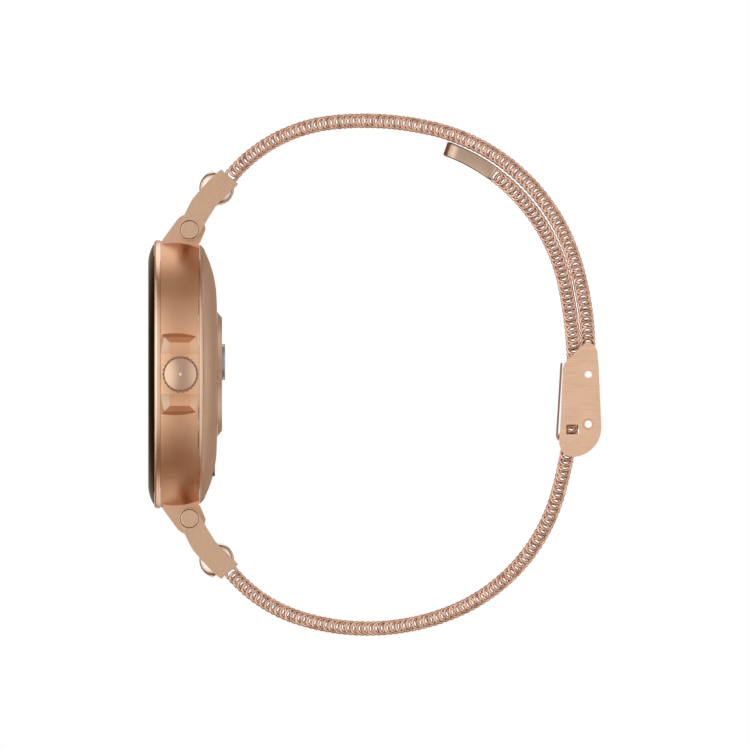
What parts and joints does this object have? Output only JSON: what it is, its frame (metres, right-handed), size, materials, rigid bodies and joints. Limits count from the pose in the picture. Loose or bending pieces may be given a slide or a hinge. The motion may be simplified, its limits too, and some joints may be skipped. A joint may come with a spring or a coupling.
{
  "type": "smartwatch",
  "caption": "Round rose-gold smartwatch with side crown, closed on a woven steel band with a fold-over hook clasp.",
  "frame": {"origin": "middle of the flat face of the round sensor island on the case back", "axes": "+Z towards twelve o'clock, +Y out of the case back towards the wrist and the clasp, +X towards the crown; the dial looks along -Y"},
  "size_m": [0.0431, 0.0675, 0.0777],
  "materials": {
    "rose_gold_case": "satin rose-gold plating",
    "polished_bezel": "polished rose-gold plating",
    "cover_glass": "black-backed hardened glass",
    "display": "black display panel",
    "rubber_seal": "black silicone",
    "dark_plastic": "moulded black plastic",
    "circuit_board": "green laminate",
    "shield_can": "plain steel",
    "battery_pouch": "aluminised pouch",
    "sensor_island": "satin rose-gold plating",
    "sensor_window": "silvered sensor window",
    "gold_contacts": "gold-plated contacts",
    "crown_metal": "polished rose-gold plating",
    "inner_steel": "turned steel",
    "link_metal": "satin rose-gold plating",
    "pin_metal": "turned rose-gold steel",
    "bead_metal": "polished",
    "woven_steel": "woven rose-gold wire",
    "tip_metal": "polished rose-gold plating",
    "clasp_metal": "fine brushed rose-gold plating",
    "clasp_inner": "plain rose-gold steel"
  },
  "bodies": {
    "case": {"mid_case": "rose_gold_case", "cover_glass": "cover_glass", "bezel_ring": "polished_bezel", "front_gasket": "rubber_seal", "display_panel": "display", "inner_frame": "dark_plastic", "main_board": "circuit_board", "board_shield": "shield_can", "battery": "battery_pouch", "vibration_motor": "shield_can", "sensor_board": "circuit_board", "back_cover": "rose_gold_case", "back_gasket": "rubber_seal", "sensor_ring": "sensor_island", "sensor_lens": "sensor_window", "charging_contacts": "gold_contacts", "crown_bush": "inner_steel", "crown_switch": "dark_plastic", "crown_spring": "shield_can"},
    "crown_slider": {"crown_slider": "dark_plastic"},
    "crown": {"crown_cap": "crown_metal", "crown_stem": "inner_steel", "crown_clip": "shield_can", "crown_seal": "rubber_seal"},
    "upper_strap": {"upper_link": "link_metal", "upper_lug_pin": "pin_metal", "upper_bead": "bead_metal", "upper_bead_pin": "pin_metal", "upper_band": "woven_steel"},
    "upper_strap_end": {"upper_band_end": "woven_steel", "hook_plate": "clasp_inner"},
    "lower_strap": {"lower_link": "link_metal", "lower_lug_pin": "pin_metal", "lower_bead": "bead_metal", "lower_bead_pin": "pin_metal", "lower_band": "woven_steel", "band_tip": "tip_metal", "clasp_base": "clasp_metal", "latch_tube": "clasp_metal", "hinge_tube": "clasp_metal", "lock_pin": "pin_metal"},
    "clasp_cover": {"clasp_cover": "clasp_metal"},
    "lock_plate": {"lock_plate": "clasp_inner"}
  },
  "joints": [
    {"name": "crown_press", "type": "slide", "parent": "case", "child": "crown_slider", "axis": [-1, 0, 0], "range_m": [0, 0.00035], "stiffness_N_per_m": 1500, "springref_m": -0.0005},
    {"name": "crown_turn", "type": "hinge", "parent": "crown_slider", "child": "crown", "pos_m": [0.02, -0.0062, 0], "axis": [1, 0, 0], "continuous": true},
    {"name": "upper_lug_swing", "type": "hinge", "parent": "case", "child": "upper_strap", "pos_m": [0, -0.00484, 0.0215], "axis": [1, 0, 0], "range_deg": [0, 3.3]},
    {"name": "upper_strap_bend", "type": "hinge", "parent": "upper_strap", "child": "upper_strap_end", "pos_m": [0, 0.03189, 0.03752], "axis": [1, 0, 0], "range_deg": [0, 22]},
    {"name": "lower_lug_swing", "type": "hinge", "parent": "case", "child": "lower_strap", "pos_m": [0, -0.00484, -0.0215], "axis": [1, 0, 0], "range_deg": [0, 3.3]},
    {"name": "cover_open", "type": "hinge", "parent": "lower_strap", "child": "clasp_cover", "pos_m": [0, 0.05455, -0.00745], "axis": [-1, 0, 0], "range_deg": [0, 110]},
    {"name": "lock_open", "type": "hinge", "parent": "lower_strap", "child": "lock_plate", "pos_m": [0, 0.0502, -0.00935], "axis": [1, 0, 0], "range_deg": [0, 75]}
  ],
  "couplings": [
    {"joint": "upper_strap_bend", "follows": "cover_open", "ratio": 0.2},
    {"joint": "upper_lug_swing", "follows": "cover_open", "ratio": 0.03},
    {"joint": "lower_lug_swing", "follows": "cover_open", "ratio": 0.03}
  ]
}
